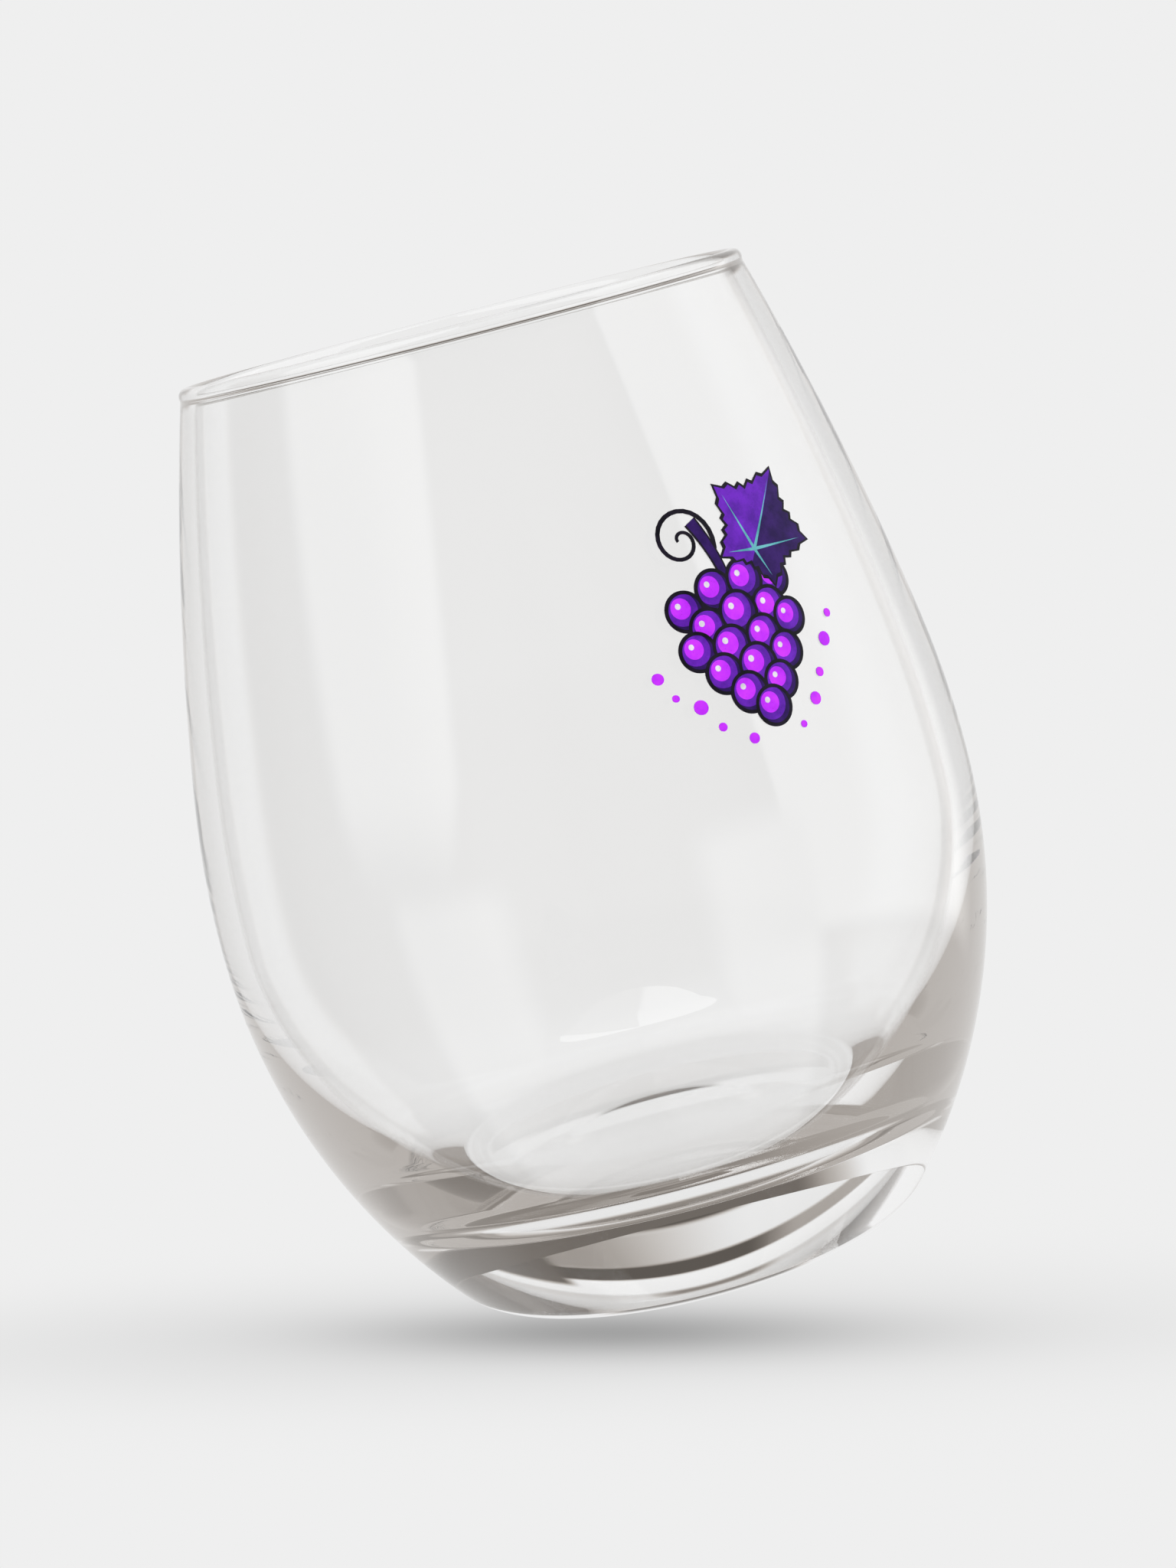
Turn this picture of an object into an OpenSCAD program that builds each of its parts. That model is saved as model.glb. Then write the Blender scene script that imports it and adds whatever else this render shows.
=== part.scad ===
/* [Glass] */
// Height from the foot to the top of the rim
glass_h = 117.5; // [95:0.5:140]
// Outside diameter at the widest part of the bowl
belly_d = 94; // [86:0.5:110]
// Height of the widest part above the foot
belly_h = 50.5; // [44:0.5:58]
// Height at which the tight shoulder curve runs out into the long upper wall
shoulder_h = 69.5; // [62:0.5:80]
// Lean of the wall at the shoulder, as a share of the mean lean from belly to mouth
shoulder_lean_share = 0.88; // [0.7:0.01:0.95]
// Outside diameter over the rounded rim
mouth_d = 69.3; // [58:0.1:80]
// Thickness of the fire-polished rim
rim_bead_d = 2.1; // [1.8:0.05:3]
// Level thickness of the wall just under the rim
wall_rim = 1.7; // [1.2:0.05:2.1]
// Thickness of the wall at the widest part
wall_belly = 2.9; // [1.8:0.1:4]

/* [Base] */
// Outside diameter of the flat ring that stands on the table
foot_d = 48.2; // [42:0.2:56]
// Radius that rounds the foot into the bowl
foot_round_r = 7.7; // [4:0.1:12]
// Height of the flat floor inside the bowl, which is the thickness of the base
floor_h = 14.5; // [9:0.5:18]
// Diameter of the flat floor inside the bowl
floor_d = 46; // [34:0.5:50]
// Radius that rounds the floor inside up into the wall, as a share of the room between them
floor_round_share = 0.616; // [0.45:0.002:0.85]
// Diameter of the shallow hollow under the base
punt_d = 28; // [20:0.5:46]
// Depth of the hollow under the base
punt_h = 0.5; // [0.3:0.1:4]

/* [Print] */
// Height of the middle of the print above the foot
print_h = 79; // [70:0.5:86]
// Width that the grape cluster fills
cluster_w = 17; // [14:0.5:20]
// Height that the grape cluster fills
cluster_h = 17; // [15:0.5:21]
// Diameter of one grape, without its outline
grape_d = 4.1; // [3:0.1:5]
// Width of the drawn outlines
line_w = 0.42; // [0.3:0.02:0.6]
// Width across the vine leaf
leaf_w = 15.5; // [12:0.5:18]
// Length of the stem
stem_l = 7.5; // [5:0.5:9]
// Thickness of the white underlay
white_t = 0.08; // [0.05:0.01:0.15]
// Thickness of the colour inks on top of the underlay
ink_t = 0.1; // [0.05:0.01:0.15]

/* [Hidden] */
$fa = 1;
$fs = 0.12;
overrun = 1;
chord_tolerance = 0.01;

// Radii of the outside, and of the bowl inside it
belly_r = belly_d / 2;
bowl_r = belly_r - wall_belly;
bead_r = rim_bead_d / 2;
bead_z = glass_h - bead_r;
bead_centre_r = mouth_d / 2 - bead_r;
wall_top_r = bead_centre_r + wall_rim / 2;
bowl_top_r = bead_centre_r - wall_rim / 2;
floor_r = floor_d / 2;
floor_round_r = floor_round_share * (bowl_r - floor_r);

// Points along an arc, close enough that no chord strays from it by more than the tolerance
function arc(centre, radius, from, to) =
  let(steps = max(2, ceil(abs(to - from) / (2 * acos(1 - chord_tolerance / radius)))))
  [for (i = [0 : steps - 1]) centre + radius * on_circle(from + (to - from) * i / steps)];
function on_circle(angle) = [cos(angle), sin(angle)];

// A turned outline is four arcs, each tangent to the next: base round, lower wall, shoulder and upper wall
function lower_r(base_z, base_r, round_r, wide_r) =
  let(side = wide_r - base_r, rise = belly_h - base_z - round_r)
  (side * side + rise * rise - round_r * round_r) / (2 * (side - round_r));
function lean(wide_r, top_r) = shoulder_lean_share * atan2(wide_r - top_r, bead_z - belly_h);
function shoulder_r(wide_r, top_r) = (shoulder_h - belly_h) / sin(lean(wide_r, top_r));
function shoulder_end(wide_r, top_r) =
  let(radius = shoulder_r(wide_r, top_r))
  [wide_r - radius, belly_h] + radius * on_circle(lean(wide_r, top_r));
function upper_r(wide_r, top_r) =
  let(chord = [top_r, bead_z] - shoulder_end(wide_r, top_r), half = atan2(-chord.x, chord.y) - lean(wide_r, top_r))
  norm(chord) / (2 * sin(half));

function base_round(base_z, base_r, round_r, wide_r) =
  let(wall_r = lower_r(base_z, base_r, round_r, wide_r), centre = [base_r, base_z + round_r])
  arc(centre, round_r, -90, atan2(centre.y - belly_h, centre.x - wide_r + wall_r));

// The long part of the outline, from the base round up to the rim, moved out by a distance
function wall_outline(base_z, base_r, round_r, wide_r, top_r, out) =
  let(
    wall_r = lower_r(base_z, base_r, round_r, wide_r),
    start = atan2(base_z + round_r - belly_h, base_r - wide_r + wall_r),
    mid_r = shoulder_r(wide_r, top_r),
    high_r = upper_r(wide_r, top_r),
    join = lean(wide_r, top_r),
    high_centre = shoulder_end(wide_r, top_r) - high_r * on_circle(join),
    top = asin((bead_z - high_centre.y) / high_r)
  )
  concat(
    arc([wide_r - wall_r, belly_h], wall_r + out, start, 0),
    arc([wide_r - mid_r, belly_h], mid_r + out, 0, join),
    arc(high_centre, high_r + out, join, top),
    [high_centre + (high_r + out) * on_circle(top)]
  );

// Half section of a turned solid with a flat base, rounded up into the bowl's curve
module turned_section(base_z, base_r, round_r, wide_r, top_r, top_z) {
  polygon(concat(
    [[0, base_z]],
    base_round(base_z, base_r, round_r, wide_r),
    wall_outline(base_z, base_r, round_r, wide_r, top_r, 0),
    [[top_r, top_z], [0, top_z]]
  ));
}

// Hollow under the base: a shallow dome
module punt_section() {
  dome_r = (pow(punt_d / 2, 2) + punt_h * punt_h) / (2 * punt_h);
  intersection() {
    translate([0, punt_h - dome_r])
      circle(r = dome_r);
    translate([0, -overrun])
      square([punt_d, punt_h + 2 * overrun]);
  }
}

module glass_body() {
  color("gainsboro", 0.35)
    rotate_extrude()
      union() {
        difference() {
          turned_section(0, foot_d / 2, foot_round_r, belly_r, wall_top_r, bead_z);
          turned_section(floor_h, floor_r, floor_round_r, bowl_r, bowl_top_r, bead_z + overrun);
          punt_section();
        }
        translate([bead_centre_r, bead_z])
          circle(r = bead_r);
      }
}

// Place of each grape's centre, as shares of the cluster's width and height, back grapes first
grape_shares = [
  [-0.37, 0.32], [0.36, 0.36], [-0.12, 0.4], [0.13, 0.41],
  [-0.25, 0.17], [0.25, 0.19], [0, 0.22],
  [-0.38, 0.05], [0.38, 0.09], [-0.13, 0.02], [0.13, 0.03],
  [-0.25, -0.13], [0.26, -0.11], [0.01, -0.14],
  [-0.12, -0.29], [0.14, -0.28], [0.02, -0.42]
];
// Size of each grape as a share of the full diameter, in the same order
grape_size_shares = [0.96, 0.9, 0.98, 1, 1, 1, 1.04, 0.92, 0.9, 1.04, 1, 0.96, 0.94, 1.06, 0.98, 0.92, 0.96];
grape_count = len(grape_shares);
// Stray drops round the cluster, as shares of its width and height
drop_shares = [
  [-0.7, -0.04], [-0.63, -0.19], [-0.49, -0.29], [-0.39, -0.45], [-0.2, -0.58],
  [0.72, 0.02], [0.61, -0.13], [0.47, -0.32], [0.36, -0.47], [0.2, -0.6]
];
// Radius of each drop as a share of a grape's diameter, in the same order
drop_size_shares = [0.16, 0.1, 0.2, 0.12, 0.15, 0.12, 0.2, 0.13, 0.18, 0.1];

// Light falls from the upper left: each grape has a lit face, a brighter middle and a glint
lit_offset_shares = [-0.17, 0.19];
lit_r_share = 0.96;
bright_offset_shares = [-0.22, 0.24];
bright_r_share = 0.6;
glint_offset_shares = [-0.34, 0.4];
glint_r_share = 0.17;

// The cluster hangs below the middle of the print, and leaf and stem meet at its crown
cluster_drop_share = 0.2;
crown_share = 0.42;
cluster_y = -cluster_drop_share * cluster_h;
crown_y = cluster_y + crown_share * cluster_h;

// A place in the cluster, given as shares of its width and height
function in_cluster(shares) = [shares.x * cluster_w, cluster_y + shares.y * cluster_h];
function grape_at(i) = in_cluster(grape_shares[i]);
function grape_r(i) = grape_size_shares[i] * grape_d / 2;

module grape_disc(i, grow) {
  translate(grape_at(i))
    circle(r = grape_r(i) + grow);
}

// A round spot on a grape, with its offset and radius as shares of the grape's own radius
module grape_spot(i, offset_shares, radius_share) {
  translate(grape_at(i) + grape_r(i) * offset_shares)
    circle(r = grape_r(i) * radius_share);
}

module cluster_outline() {
  for (i = [0 : grape_count - 1])
    grape_disc(i, line_w);
}

// What is left of a grape behind the leaf and the grapes drawn after it
module grape_seen(i) {
  difference() {
    grape_disc(i, 0);
    for (j = [i + 1 : 1 : grape_count - 1])
      grape_disc(j, line_w);
    leaf_shape(line_w);
  }
}

// Vine leaf with pointed lobes, small teeth and shorter lobes beside the stalk
leaf_r = leaf_w / 2;
leaf_at_shares = [0.84, 0.56];
leaf_at = [0, crown_y] + leaf_r * leaf_at_shares;
leaf_tip_angle = 50;
lobe_count = 5;
teeth_per_lobe = 5;
lobe_angle = 360 / lobe_count;
tooth_angle = lobe_angle / teeth_per_lobe;
lobe_depth_share = 0.3;
tooth_depth_share = 0.08;
low_lobe_loss_share = 0.22;
vein_w = 0.38;
shade_shift = 0.12;
vein_base_share = 0.3;
vein_tip_share = 0.84;

// Distance from the leaf's middle to its edge, at an angle from its tip, as a share of the leaf's radius
function edge_share(angle) =
  (1 - low_lobe_loss_share * (1 - cos(angle)) / 2)
  * (1 - lobe_depth_share * abs(sin(180 * angle / lobe_angle)) - tooth_depth_share * abs(sin(180 * angle / tooth_angle)));
function in_leaf(angle, radius) = leaf_at + radius * on_circle(leaf_tip_angle + angle);

module leaf_shape(grow) {
  polygon([
    for (a = [0 : tooth_angle / 2 : 360 - tooth_angle / 2])
      in_leaf(a, leaf_r * edge_share(a) + grow)
  ]);
}

// The shade falls on one side of a line just beside the middle vein
module leaf_lit_half() {
  translate(leaf_at)
    rotate(leaf_tip_angle)
      translate([-leaf_w, -shade_shift])
        square([2 * leaf_w, leaf_w]);
}

// Veins run from the stalk into each lobe and taper to a point
module veins() {
  base = in_leaf(180, vein_base_share * leaf_r);
  for (lobe = [0 : lobe_count - 1]) {
    angle = lobe * lobe_angle;
    tip = in_leaf(angle, vein_tip_share * edge_share(angle) * leaf_r);
    run = (tip - base) / norm(tip - base);
    side = vein_w / 2 * [-run.y, run.x];
    polygon([base - side, tip, base + side]);
  }
}

// Outline of a stroke along a path, which tapers from one width to another
function path_side(path, i) =
  let(run = path[min(i + 1, len(path) - 1)] - path[max(i - 1, 0)])
  [-run.y, run.x] / norm(run);
function half_width(path, i, width_from, width_to) = (width_from + (width_to - width_from) * i / (len(path) - 1)) / 2;
function stroke_outline(path, width_from, width_to) =
  let(last = len(path) - 1)
  concat(
    [for (i = [0 : last]) path[i] + path_side(path, i) * half_width(path, i, width_from, width_to)],
    [for (i = [last : -1 : 0]) path[i] - path_side(path, i) * half_width(path, i, width_from, width_to)]
  );

// Stem rises from behind the crown of the cluster, leans left and widens as it climbs
stem_w = 1.1;
stem_end_w = 1.7;
stem_lean_share = 0.26;
stem_hidden_share = 0.15;
stem_steps = 8;
stem_path = [
  for (i = [0 : stem_steps])
    let(t = i / stem_steps)
    [-stem_lean_share * t * t, t - stem_hidden_share * (1 - t)] * stem_l + [0, crown_y]
];

module stem() {
  polygon(stroke_outline(stem_path, stem_w, stem_end_w));
}

module stem_core() {
  difference() {
    polygon(stroke_outline(stem_path, stem_w - line_w, stem_end_w - line_w));
    cluster_outline();
    leaf_shape(line_w);
  }
}

// Tendril leaves the middle of the stem and winds into a curl
tendril_w = 0.55;
tendril_tip_w = 0.34;
tendril_r_share = 0.56;
tendril_close_share = 0.86;
tendril_turns = 1.6;
tendril_tighten_power = 1.25;
tendril_steps = 40;
tendril_lead_angle = -38;
tendril_r = tendril_r_share * stem_l;
tendril_centre = stem_path[stem_steps / 2] - tendril_r * on_circle(tendril_lead_angle);
tendril_path = [
  for (i = [0 : tendril_steps])
    let(t = i / tendril_steps)
    tendril_centre + tendril_r * pow(1 - tendril_close_share * t, tendril_tighten_power)
      * on_circle(tendril_lead_angle + 360 * tendril_turns * t)
];

module tendril() {
  polygon(stroke_outline(tendril_path, tendril_w, tendril_tip_w));
}

module drops() {
  for (i = [0 : len(drop_shares) - 1])
    translate(in_cluster(drop_shares[i]))
      circle(r = drop_size_shares[i] * grape_d);
}

// Everything that the print covers
module print_outline() {
  cluster_outline();
  leaf_shape(line_w);
  stem();
  tendril();
  drops();
}

module black_art() {
  difference() {
    print_outline();
    for (i = [0 : grape_count - 1])
      grape_seen(i);
    leaf_shape(0);
    stem_core();
    drops();
  }
}

module indigo_art() {
  for (i = [0 : grape_count - 1])
    difference() {
      grape_seen(i);
      grape_spot(i, lit_offset_shares, lit_r_share);
    }
  difference() {
    leaf_shape(0);
    leaf_lit_half();
    veins();
  }
  stem_core();
}

module violet_art() {
  for (i = [0 : grape_count - 1])
    difference() {
      intersection() {
        grape_seen(i);
        grape_spot(i, lit_offset_shares, lit_r_share);
      }
      grape_spot(i, bright_offset_shares, bright_r_share);
    }
  difference() {
    intersection() {
      leaf_shape(0);
      leaf_lit_half();
    }
    veins();
  }
}

module magenta_art() {
  for (i = [0 : grape_count - 1])
    difference() {
      intersection() {
        grape_seen(i);
        grape_spot(i, bright_offset_shares, bright_r_share);
      }
      grape_spot(i, glint_offset_shares, glint_r_share);
    }
  drops();
}

module teal_art() {
  intersection() {
    leaf_shape(0);
    veins();
  }
}

module silver_art() {
  for (i = [0 : grape_count - 1])
    intersection() {
      grape_seen(i);
      grape_spot(i, glint_offset_shares, glint_r_share);
    }
}

// Layer that follows the outside wall, between two distances from the glass
module wall_layer(from_t, to_t) {
  inside = wall_outline(0, foot_d / 2, foot_round_r, belly_r, wall_top_r, from_t);
  outside = wall_outline(0, foot_d / 2, foot_round_r, belly_r, wall_top_r, to_t);
  last = len(inside) - 1;
  rotate_extrude()
    polygon(concat(outside, [for (i = [last : -1 : 0]) inside[i]]));
}

// Film of ink on the front of the wall: flat artwork carried straight back onto the curve
module film(from_t, thickness) {
  intersection() {
    wall_layer(from_t, from_t + thickness);
    translate([0, 0, print_h])
      rotate([90, 0, 0])
        linear_extrude(height = belly_d)
          children();
  }
}

module white_underlay() {
  color("white")
    film(0, white_t)
      print_outline();
}

module black_ink() {
  color("#14101c")
    film(white_t, ink_t)
      black_art();
}

module indigo_ink() {
  color("#2a1266")
    film(white_t, ink_t)
      indigo_art();
}

module violet_ink() {
  color("#5a1ac0")
    film(white_t, ink_t)
      violet_art();
}

module magenta_ink() {
  color("#b31cf0")
    film(white_t, ink_t)
      magenta_art();
}

module teal_ink() {
  color("#2f9aa6")
    film(white_t, ink_t)
      teal_art();
}

module silver_ink() {
  color("#c9c6d6")
    film(white_t, ink_t)
      silver_art();
}

glass_body();
white_underlay();
black_ink();
indigo_ink();
violet_ink();
magenta_ink();
teal_ink();
silver_ink();
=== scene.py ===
import math

import bpy
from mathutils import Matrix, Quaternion, Vector


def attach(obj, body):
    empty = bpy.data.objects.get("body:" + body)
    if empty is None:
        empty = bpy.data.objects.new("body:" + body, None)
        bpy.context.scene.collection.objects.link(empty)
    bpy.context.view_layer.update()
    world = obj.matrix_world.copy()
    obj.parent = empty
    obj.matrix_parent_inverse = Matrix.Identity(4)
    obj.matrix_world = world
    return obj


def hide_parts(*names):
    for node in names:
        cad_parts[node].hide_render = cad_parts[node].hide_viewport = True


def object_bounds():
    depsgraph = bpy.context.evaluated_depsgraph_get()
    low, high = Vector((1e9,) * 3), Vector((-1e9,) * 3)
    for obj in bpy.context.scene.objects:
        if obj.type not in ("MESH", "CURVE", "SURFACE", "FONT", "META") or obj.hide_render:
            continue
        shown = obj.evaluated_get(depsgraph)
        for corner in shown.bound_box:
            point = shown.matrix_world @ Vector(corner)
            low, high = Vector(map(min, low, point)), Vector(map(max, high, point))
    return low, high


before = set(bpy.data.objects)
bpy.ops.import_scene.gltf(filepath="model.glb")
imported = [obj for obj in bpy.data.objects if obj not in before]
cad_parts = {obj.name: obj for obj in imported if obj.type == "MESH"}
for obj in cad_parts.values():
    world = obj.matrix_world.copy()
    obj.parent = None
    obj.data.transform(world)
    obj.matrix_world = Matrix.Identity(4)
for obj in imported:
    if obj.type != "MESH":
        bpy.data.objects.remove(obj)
cad_low, cad_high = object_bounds()


# Camera. The photograph looks slightly down on the glass, whose axis leans 14.4 degrees to the left in the picture.
# The glass stays upright here, so the camera rolls instead, and it stands to the left of the print.
camera_place = Vector((-0.2138, -0.36735, 0.12511))
camera_aim = Vector((0.00107, -0.00063, 0.05894))
camera_roll = math.radians(-14.36)
lens_mm = 80.86

bpy.ops.object.camera_add(location=camera_place)
camera = bpy.context.active_object
camera.name = "photo_camera"
camera.data.lens = lens_mm
camera.rotation_mode = "QUATERNION"
camera_turn = (camera_aim - camera_place).to_track_quat("-Z", "Y")
camera.rotation_quaternion = camera_turn @ Quaternion((0, 0, 1), camera_roll)
bpy.context.scene.camera = camera


# Vessel. One piece of clear glass, pressed and blown: a thick base with a shallow hollow under it, an egg-shaped
# bowl and a fire-polished bead at the rim. Its half section is drawn as arcs and turned about the upright axis.
# The melt leaves its surface very slightly wavy, which is what bends the light and dark bands seen in the base.
glass_h = cad_high.z
belly_r = 0.047
belly_h = 0.0505
shoulder_h = 0.0695
shoulder_lean_share = 0.88
bead_r = 0.00105
bead_centre_r = 0.0336
bead_blend = 0.00025
bead_blend_steps = 4
half_wall_rim = 0.00085
wall_belly = 0.0029
foot_r = 0.0241
foot_round_r = 0.0077
floor_h = 0.0145
floor_r = 0.023
floor_round_share = 0.616
floor_round_r = floor_round_share * (belly_r - wall_belly - floor_r)
punt_r = 0.014
punt_h = 0.0005
bead_z = glass_h - bead_r
turn_steps = 256
step_length = 0.0015
step_turn = math.radians(3)
bead_step_turn = math.radians(15)
same_place = 1e-6
sharp_edge_turn = math.radians(30)
glass_bends_light = 1.5
melt_wave_scale = 38
melt_wave_depth = 0.00002


def bowl_arcs(base_z, base_r, round_r, wide_r, top_r):
    """Centres and radii of the four arcs from the base round up to the rim, with the angles where they meet."""
    side = wide_r - base_r
    rise = belly_h - base_z - round_r
    wall_r = (side * side + rise * rise - round_r * round_r) / (2 * (side - round_r))
    lean = shoulder_lean_share * math.atan2(wide_r - top_r, bead_z - belly_h)
    mid_r = (shoulder_h - belly_h) / math.sin(lean)
    shoulder = Vector((wide_r - mid_r + mid_r * math.cos(lean), belly_h + mid_r * math.sin(lean)))
    chord = Vector((top_r, bead_z)) - shoulder
    high_r = chord.length / (2 * math.sin(math.atan2(-chord.x, chord.y) - lean))
    high = shoulder - high_r * Vector((math.cos(lean), math.sin(lean)))
    join = math.atan2(base_z + round_r - belly_h, base_r - wide_r + wall_r)
    return [
        (Vector((base_r, base_z + round_r)), round_r, -math.pi / 2, join),
        (Vector((wide_r - wall_r, belly_h)), wall_r, join, 0),
        (Vector((wide_r - mid_r, belly_h)), mid_r, 0, lean),
        (high, high_r, lean, math.asin((bead_z - high.y) / high_r)),
    ]


def bead_meeting(centre, radius):
    """Where a wall's last arc meets the bead: the lower of the two crossings of their circles."""
    bead = Vector((bead_centre_r, bead_z))
    between = centre - bead
    along = (bead_r ** 2 - radius ** 2 + between.length_squared) / (2 * between.length)
    across = math.sqrt(bead_r ** 2 - along ** 2)
    out = between.normalized()
    sides = [bead + along * out + s * across * Vector((-out.y, out.x)) for s in (1, -1)]
    return min(sides, key=lambda p: p.y)


def angle_from(centre, point):
    return math.atan2(point.y - centre.y, point.x - centre.x)


def sweep(centre, radius, start, end, turn=step_turn):
    """Carries the last point of the section along an arc."""
    steps = math.ceil(abs(end - start) * max(1 / turn, radius / step_length))
    bpy.ops.mesh.spin(steps=steps, angle=end - start, center=(centre.x, 0, centre.y), axis=(0, 1, 0))


outer = bowl_arcs(0, foot_r, foot_round_r, belly_r, bead_centre_r + half_wall_rim)
inner = bowl_arcs(floor_h, floor_r, floor_round_r, belly_r - wall_belly, bead_centre_r - half_wall_rim)
outer_top = bead_meeting(*outer[3][:2])
inner_top = bead_meeting(*inner[3][:2])
bead = Vector((bead_centre_r, bead_z))
dome_r = (punt_r ** 2 + punt_h ** 2) / (2 * punt_h)

bpy.ops.object.select_all(action="DESELECT")
bpy.ops.mesh.primitive_plane_add(size=bead_r, location=(0, 0, punt_h))
vessel = bpy.context.active_object
vessel.name = "clear_glass_vessel"
bpy.ops.object.mode_set(mode="EDIT")
bpy.ops.mesh.select_mode(type="VERT")
bpy.ops.mesh.select_all(action="SELECT")
bpy.ops.mesh.merge(type="CENTER")
sweep(Vector((0, punt_h - dome_r)), dome_r, math.pi / 2, math.acos(punt_r / dome_r))
bpy.ops.mesh.extrude_region_move(TRANSFORM_OT_translate={"value": (foot_r - punt_r, 0, 0)})
for centre, radius, start, end in outer[:3]:
    sweep(centre, radius, start, end)
sweep(outer[3][0], outer[3][1], outer[3][2], angle_from(outer[3][0], outer_top))
sweep(bead, bead_r, angle_from(bead, outer_top), angle_from(bead, inner_top) % (2 * math.pi), bead_step_turn)
sweep(inner[3][0], inner[3][1], angle_from(inner[3][0], inner_top), inner[3][2])
for centre, radius, start, end in reversed(inner[:3]):
    sweep(centre, radius, end, start)
bpy.ops.mesh.extrude_region_move(TRANSFORM_OT_translate={"value": (-floor_r, 0, 0)})
bpy.ops.mesh.select_all(action="DESELECT")
bpy.ops.object.mode_set(mode="OBJECT")
for vertex in vessel.data.vertices:
    place = vessel.matrix_world @ vertex.co
    vertex.select = any((Vector((place.x, place.z)) - top).length < same_place for top in (outer_top, inner_top))
bpy.ops.object.mode_set(mode="EDIT")
bpy.ops.mesh.bevel(offset=bead_blend, segments=bead_blend_steps, affect="VERTICES")
bpy.ops.mesh.select_all(action="SELECT")
bpy.ops.mesh.spin(steps=turn_steps, angle=2 * math.pi, center=(0, 0, 0), axis=(0, 0, 1))
bpy.ops.mesh.select_all(action="SELECT")
bpy.ops.mesh.remove_doubles(threshold=same_place)
bpy.ops.mesh.normals_make_consistent(inside=False)
bpy.ops.object.mode_set(mode="OBJECT")
bpy.ops.object.transform_apply(location=True, rotation=True, scale=True)
bpy.ops.object.shade_smooth_by_angle(angle=sharp_edge_turn)

glass = bpy.data.materials.new("clear_pressed_glass")
glass.use_nodes = True
glass_nodes = glass.node_tree.nodes
glass_links = glass.node_tree.links
glass_shader = glass_nodes["Principled BSDF"]
glass_shader.inputs["Base Color"].default_value = (0.996, 0.997, 0.996, 1)
glass_shader.inputs["Transmission Weight"].default_value = 1
glass_shader.inputs["IOR"].default_value = glass_bends_light
glass_shader.inputs["Roughness"].default_value = 0
glass_place = glass_nodes.new("ShaderNodeTexCoord")
melt_waves = glass_nodes.new("ShaderNodeTexNoise")
melt_waves.inputs["Scale"].default_value = melt_wave_scale
melt_waves.inputs["Detail"].default_value = 0
melt_bump = glass_nodes.new("ShaderNodeBump")
melt_bump.inputs["Distance"].default_value = melt_wave_depth
glass_links.new(glass_place.outputs["Object"], melt_waves.inputs["Vector"])
glass_links.new(melt_waves.outputs["Fac"], melt_bump.inputs["Height"])
glass_links.new(melt_bump.outputs["Normal"], glass_shader.inputs["Normal"])
vessel.data.materials.clear()
vessel.data.materials.append(glass)
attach(vessel, "root")
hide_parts("glass_body")


# Print. Seven thin films of fired enamel: a white underlay on the wall, and the colours side by side on it.
# They stay as the CAD made them, because each already follows the wall. Screened and fired ink is never even: it is
# laid a little thicker and thinner, it has fine pinholes and pigment specks, and its skin is satin with orange peel.
ink_colours = {
    "white_underlay": ((0.8, 0.8, 0.79), (0.72, 0.72, 0.72), 0.42),
    "black_ink": ((0.003, 0.003, 0.005), (0.011, 0.008, 0.018), 0.34),
    "indigo_ink": ((0.013, 0.003, 0.055), (0.03, 0.008, 0.11), 0.34),
    "violet_ink": ((0.07, 0.009, 0.27), (0.13, 0.016, 0.44), 0.36),
    "magenta_ink": ((0.4, 0.018, 0.74), (0.54, 0.035, 0.93), 0.38),
    "teal_ink": ((0.06, 0.27, 0.31), (0.13, 0.42, 0.46), 0.34),
    "silver_ink": ((0.5, 0.48, 0.55), (0.72, 0.7, 0.76), 0.3),
}
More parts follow.
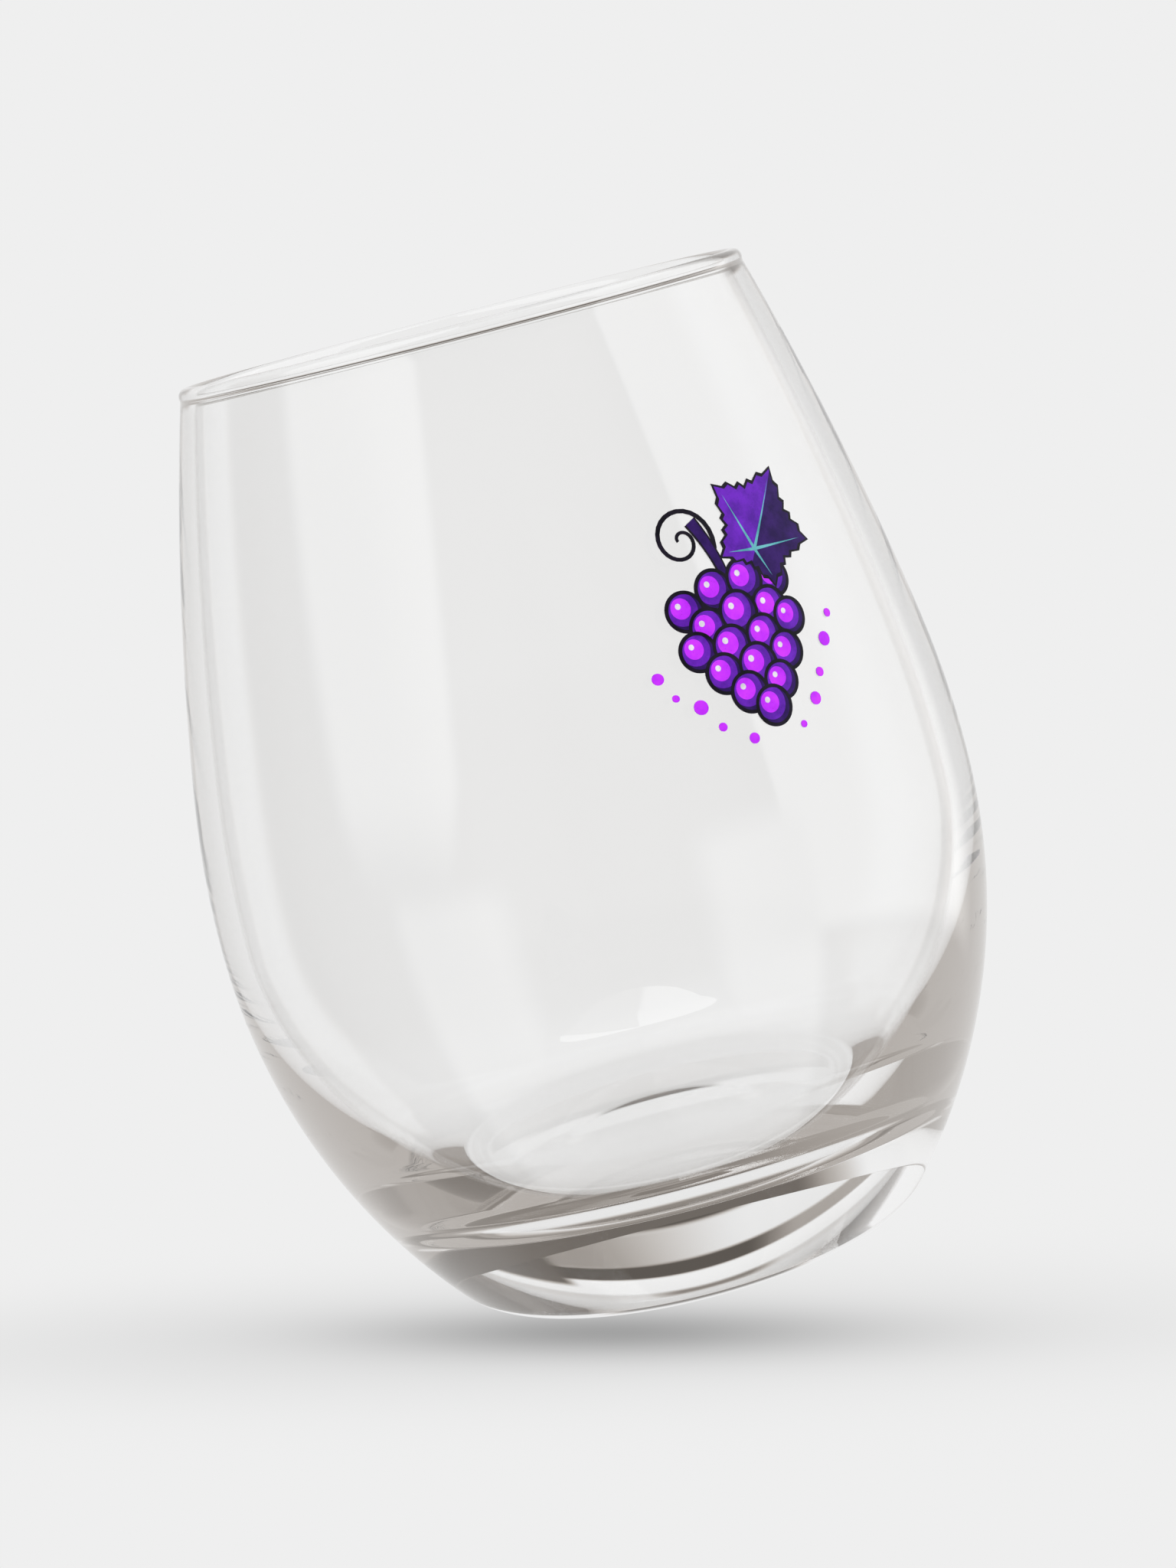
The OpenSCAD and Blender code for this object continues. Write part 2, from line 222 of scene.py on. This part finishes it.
for name, (thick_colour, thin_colour, satin) in ink_colours.items():
    ink = bpy.data.materials.new(name + "_enamel")
    ink.use_nodes = True
    nodes = ink.node_tree.nodes
    links = ink.node_tree.links
    ink_shader = nodes["Principled BSDF"]
    ink_shader.inputs["Specular IOR Level"].default_value = 0.06
    ink_place = nodes.new("ShaderNodeTexCoord")

    laydown = nodes.new("ShaderNodeTexNoise")
    laydown.inputs["Scale"].default_value = 420
    laydown.inputs["Detail"].default_value = 5
    laydown.inputs["Roughness"].default_value = 0.65
    laydown_colour = nodes.new("ShaderNodeValToRGB")
    laydown_colour.color_ramp.elements[0].position = 0.36
    laydown_colour.color_ramp.elements[0].color = (*thick_colour, 1)
    laydown_colour.color_ramp.elements[1].position = 0.64
    laydown_colour.color_ramp.elements[1].color = (*thin_colour, 1)

    specks = nodes.new("ShaderNodeTexVoronoi")
    specks.inputs["Scale"].default_value = 2600
    speck_size = nodes.new("ShaderNodeMapRange")
    speck_size.inputs["From Min"].default_value = 0.16
    speck_size.inputs["From Max"].default_value = 0.08
    speck_colour = nodes.new("ShaderNodeMix")
    speck_colour.data_type = "RGBA"
    speck_colour.blend_type = "MULTIPLY"
    speck_colour.inputs[7].default_value = (0.62, 0.62, 0.66, 1)

    satin_range = nodes.new("ShaderNodeMapRange")
    satin_range.inputs["To Min"].default_value = satin - 0.06
    satin_range.inputs["To Max"].default_value = satin + 0.1
    peel = nodes.new("ShaderNodeTexNoise")
    peel.inputs["Scale"].default_value = 1500
    peel.inputs["Detail"].default_value = 2
    peel_bump = nodes.new("ShaderNodeBump")
    peel_bump.inputs["Strength"].default_value = 0.5
    peel_bump.inputs["Distance"].default_value = 0.00004

    for texture in (laydown, specks, peel):
        links.new(ink_place.outputs["Object"], texture.inputs["Vector"])
    links.new(laydown.outputs["Fac"], laydown_colour.inputs["Fac"])
    links.new(specks.outputs["Distance"], speck_size.inputs["Value"])
    links.new(speck_size.outputs["Result"], speck_colour.inputs[0])
    links.new(laydown_colour.outputs["Color"], speck_colour.inputs[6])
    links.new(speck_colour.outputs[2], ink_shader.inputs["Base Color"])
    links.new(laydown.outputs["Fac"], satin_range.inputs["Value"])
    links.new(satin_range.outputs["Result"], ink_shader.inputs["Roughness"])
    links.new(peel.outputs["Fac"], peel_bump.inputs["Height"])
    links.new(peel_bump.outputs["Normal"], ink_shader.inputs["Normal"])
    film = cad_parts[name]
    film.data.materials.clear()
    film.data.materials.append(ink)


# Floor. A white sweep that glows in the backdrop's own brightness. A soft painted shadow with a darker core beside
# the foot is taken out of that glow, and only the camera sees it. For light reflected inside the glass, painted shade
# dims the floor in the hollow under the foot and round about after several reflections, and the floor shows only near
# the glass.
backdrop_light = 0.8632
full_tone = (1, 1, 1, 1)
dim_tone = (1.13, 0.98, 0.85, 1)
floor_reach = 0.3
floor_drop = 0.0002
near_r = 0.05
far_r = 0.12
one_reflection = 0.5
three_reflections = 2.5
six_reflections = 5.5

# Each painted shadow pool: middle, turn in degrees, half lengths, how square its fade is, and how dark
painted_shadow_pools = [
    ((-0.0246, -0.018), -70.8, (0.0381, 0.0074), 0.984, 0.4414),
    ((-0.034, 0.0043), -68.0, (0.1018, 0.0189), 1.17, 0.1418),
]

# Each ring of painted shade: distance where it starts and where it is full, how dark, and from how many reflections
# on
painted_shade_rings = [
    (0.021, 0.017, 0.7, one_reflection),
    (foot_r, 1.6 * foot_r, 0.62, three_reflections),
]
bpy.ops.object.select_all(action="DESELECT")
bpy.ops.mesh.primitive_circle_add(vertices=96, radius=floor_reach, fill_type="NGON", location=(0, 0, -floor_drop))
floor = bpy.context.active_object
floor.name = "white_sweep"
bpy.ops.object.transform_apply(location=True, rotation=True, scale=True)
white = bpy.data.materials.new("white_sweep_paper")
white.use_nodes = True
nodes = white.node_tree.nodes
links = white.node_tree.links
nodes.clear()


def calculate(operation, first, second=0.0, third=0.0, clamp=False):
    """One Math node, whose inputs are sockets or numbers."""
    node = nodes.new("ShaderNodeMath")
    node.operation = operation
    node.use_clamp = clamp
    for socket, value in zip(node.inputs, (first, second, third)):
        if isinstance(value, bpy.types.NodeSocket):
            links.new(value, socket)
        else:
            socket.default_value = value
    return node.outputs["Value"]


floor_place = nodes.new("ShaderNodeTexCoord")
shade = 0.0
# Painted shadow: each pool takes a soft elliptical fade out of the floor's glow
for centre, turn, lengths, squareness, depth in painted_shadow_pools:
    pool = nodes.new("ShaderNodeMapping")
    pool.vector_type = "TEXTURE"
    pool.inputs["Location"].default_value = (*centre, 0)
    pool.inputs["Rotation"].default_value = (0, 0, math.radians(turn))
    pool.inputs["Scale"].default_value = (*lengths, 1)
    reach = nodes.new("ShaderNodeVectorMath")
    reach.operation = "LENGTH"
    links.new(floor_place.outputs["Object"], pool.inputs["Vector"])
    links.new(pool.outputs["Vector"], reach.inputs[0])
    fall = calculate("MULTIPLY", calculate("POWER", reach.outputs["Value"], 2 * squareness), -1)
    fade = calculate("POWER", math.e, fall)
    shade = calculate("ADD", calculate("MULTIPLY", fade, depth), shade)
floor_rays = nodes.new("ShaderNodeLightPath")
shade = calculate("MULTIPLY", shade, floor_rays.outputs["Is Camera Ray"])
from_middle = nodes.new("ShaderNodeVectorMath")
from_middle.operation = "LENGTH"
links.new(floor_place.outputs["Object"], from_middle.inputs[0])
painted_dims = []
# Painted shade: each ring dims the floor's glow for rays reflected inside the glass often enough
for start, end, depth, reflections in painted_shade_rings:
    dim = nodes.new("ShaderNodeMapRange")
    dim.interpolation_type = "SMOOTHSTEP"
    dim.inputs["From Min"].default_value = start
    dim.inputs["From Max"].default_value = end
    dim.inputs["To Max"].default_value = depth
    links.new(from_middle.outputs["Value"], dim.inputs["Value"])
    enough = calculate("GREATER_THAN", floor_rays.outputs["Glossy Depth"], reflections)
    painted_dims.append(calculate("MULTIPLY", dim.outputs["Result"], enough))
glow_share = calculate("SUBTRACT", calculate("SUBTRACT", 1, shade), calculate("ADD", *painted_dims))
floor_glow = nodes.new("ShaderNodeEmission")
# The painted shade also turns the floor's colour toward the warmer dim tone, except for the camera
floor_tone = nodes.new("ShaderNodeMix")
floor_tone.data_type = "RGBA"
floor_tone.inputs[6].default_value = dim_tone
floor_tone.inputs[7].default_value = full_tone
links.new(calculate("ADD", glow_share, floor_rays.outputs["Is Camera Ray"], clamp=True), floor_tone.inputs[0])
links.new(floor_tone.outputs[2], floor_glow.inputs["Color"])
links.new(calculate("MULTIPLY", glow_share, backdrop_light), floor_glow.inputs["Strength"])

near = nodes.new("ShaderNodeMapRange")
near.interpolation_type = "SMOOTHSTEP"
near.inputs["From Min"].default_value = far_r
near.inputs["From Max"].default_value = near_r
links.new(from_middle.outputs["Value"], near.inputs["Value"])
straight = calculate("SUBTRACT", 1, floor_rays.outputs["Glossy Depth"], clamp=True)
seen = calculate("MAXIMUM", near.outputs["Result"], straight)
seen = calculate("MULTIPLY", seen, floor_rays.outputs["Is Transmission Ray"])
seen = calculate("MAXIMUM", seen, floor_rays.outputs["Is Camera Ray"])
unseen = nodes.new("ShaderNodeBsdfTransparent")
floor_shown = nodes.new("ShaderNodeMixShader")
floor_output = nodes.new("ShaderNodeOutputMaterial")
links.new(seen, floor_shown.inputs["Fac"])
links.new(unseen.outputs["BSDF"], floor_shown.inputs[1])
links.new(floor_glow.outputs["Emission"], floor_shown.inputs[2])
links.new(floor_shown.outputs["Shader"], floor_output.inputs["Surface"])
floor.data.materials.append(white)


# Surroundings. A white backdrop behind the glass and a darker room in front, with a soft box on each side of the
# camera. Directions are turned so that 0 degrees lies straight behind the glass and the camera looks that way.
behind_turn = math.atan2(-camera_place.x, -camera_place.y)
box_light = 2.2
low_light = 1.8
many_reflections_light = 0.42
most_bounces = 128
world = bpy.data.worlds.new("studio")
bpy.context.scene.world = world
world.use_nodes = True
nodes = world.node_tree.nodes
links = world.node_tree.links
background = nodes["Background"]
sky = nodes.new("ShaderNodeTexCoord")
turned = nodes.new("ShaderNodeVectorRotate")
turned.rotation_type = "Z_AXIS"
turned.inputs["Angle"].default_value = behind_turn
parts = nodes.new("ShaderNodeSeparateXYZ")
links.new(sky.outputs["Generated"], turned.inputs["Vector"])
links.new(turned.outputs["Vector"], parts.inputs["Vector"])
around = calculate("ARCTAN2", parts.outputs["X"], parts.outputs["Y"])
aside = calculate("ABSOLUTE", around)
upward = calculate("ARCSINE", parts.outputs["Z"])


def beyond(angle, edge, soft):
    """0 below an edge in degrees and 1 above it, with a soft step."""
    step = nodes.new("ShaderNodeMapRange")
    step.interpolation_type = "SMOOTHSTEP"
    step.inputs["From Min"].default_value = math.radians(edge - soft / 2)
    step.inputs["From Max"].default_value = math.radians(edge + soft / 2)
    links.new(angle, step.inputs["Value"])
    return step.outputs["Result"]


def between(angle, low, high, low_soft, high_soft):
    """1 between two edges in degrees and 0 outside them, each edge with its own soft step."""
    return calculate("SUBTRACT", beyond(angle, low, low_soft), beyond(angle, high, high_soft), clamp=True)


def blend(start, end, share):
    """From one brightness to another by a share from 0 to 1."""
    mix = nodes.new("ShaderNodeMix")
    for socket, value in zip((mix.inputs[0], mix.inputs[2], mix.inputs[3]), (share, start, end)):
        if isinstance(value, bpy.types.NodeSocket):
            links.new(value, socket)
        else:
            socket.default_value = value
    return mix.outputs[0]


# Straight through the glass: the backdrop, with dark and light bands overhead that only the thick base bends in
through = blend(backdrop_light, 0.5, beyond(aside, 138, 24))
through = blend(through, 0.1, between(upward, 11, 19.7, 6, 1.2))
through = blend(through, blend(0.9, 0.32, between(around, 4, 60, 26, 20)), between(upward, 19.7, 26.2, 1.2, 1))
through = blend(through, blend(0.09, 0.4, between(around, -40, -12, 8, 10)), between(upward, 26.2, 29.9, 1, 1))
through = blend(through, 1, between(upward, 29.9, 35.3, 1, 1))
through = blend(through, blend(0.75, 0.25, between(around, -12, 8, 8, 8)), beyond(upward, 35.3, 1.6))
through = blend(through, 0.84, between(upward, 37.5, 46, 2.4, 6))
patch = calculate("MULTIPLY", between(around, 21.5, 38, 3, 3), between(upward, 11, 32, 4, 2))
through = blend(through, 0.12, patch)
through = blend(through, 0.12, beyond(upward, 52, 14))

# After one or two reflections inside the glass: the backdrop at the wall's own edges, else mostly the darker room
once = blend(0.5, 0.92, between(around, -72, -24, 20, 8))
once = blend(once, 0.14, between(around, -18, 130, 8, 30))
once = blend(once, 0.2, beyond(upward, 26, 10))
beside = calculate("MULTIPLY", between(aside, 13, 46, 6, 10), between(upward, -95, 6, 1, 6))
once = blend(once, backdrop_light, beside)
once = blend(once, 0.8, between(upward, -95, -34, 1, 16))
once = blend(once, 0.1, beyond(upward, 44, 12))

# After more of them: dark before and behind, light at both sides
often = blend(0.34, 0.2, between(around, -20, 80, 40, 40))
often = blend(often, 0.7, beyond(aside, 110, 50))
often = blend(often, 0.3, beyond(upward, 30, 30))

# Mirrored by the outside of the glass, and what lights the print
mirrored = blend(backdrop_light, 0.55, beyond(aside, 80, 50))
left_start = beyond(calculate("MULTIPLY_ADD", upward, 0.6, around), -139.5, 5)
left_end = beyond(calculate("MULTIPLY_ADD", upward, -0.4, around), -108.5, 9)
left_box = calculate("MULTIPLY", calculate("SUBTRACT", left_start, left_end, clamp=True), beyond(upward, 2, 16))
right_box = calculate("MULTIPLY", between(around, 46, 124, 16, 3), beyond(upward, -21.5, 4))
mirrored = blend(mirrored, box_light, calculate("MAXIMUM", left_box, right_box))
low_band = calculate("MULTIPLY", between(aside, 118, 151, 8, 12), between(upward, -56, -4, 14, 6))
low_front = calculate("MULTIPLY", beyond(aside, 118, 8), between(upward, -56, -30, 14, 14))
mirrored = blend(mirrored, low_light, calculate("MAXIMUM", low_band, low_front))
# Painted shadow: steeply below, the world is dark where the glass's own shadow on the floor would be seen in
# reflection
mirrored = blend(mirrored, 0.2, between(upward, -95, -58, 1, 16))

rays = nodes.new("ShaderNodeLightPath")
reflections = rays.outputs["Glossy Depth"]
through = blend(through, once, calculate("GREATER_THAN", reflections, one_reflection))
through = blend(through, often, calculate("GREATER_THAN", reflections, three_reflections))
through = blend(through, many_reflections_light, calculate("GREATER_THAN", reflections, six_reflections))
light = blend(mirrored, through, rays.outputs["Is Transmission Ray"])
light = blend(light, backdrop_light, rays.outputs["Is Camera Ray"])
links.new(light, background.inputs["Strength"])
room_tone = nodes.new("ShaderNodeMix")
room_tone.data_type = "RGBA"
room_tone.inputs[6].default_value = dim_tone
room_tone.inputs[7].default_value = full_tone
links.new(calculate("DIVIDE", light, backdrop_light, clamp=True), room_tone.inputs[0])
links.new(room_tone.outputs[2], background.inputs["Color"])

# Light crosses the thick base by many inner reflections before it leaves the glass
bpy.context.scene.cycles.max_bounces = most_bounces
bpy.context.scene.cycles.transmission_bounces = most_bounces
bpy.context.scene.cycles.glossy_bounces = most_bounces
bpy.context.scene.view_settings.view_transform = "Standard"
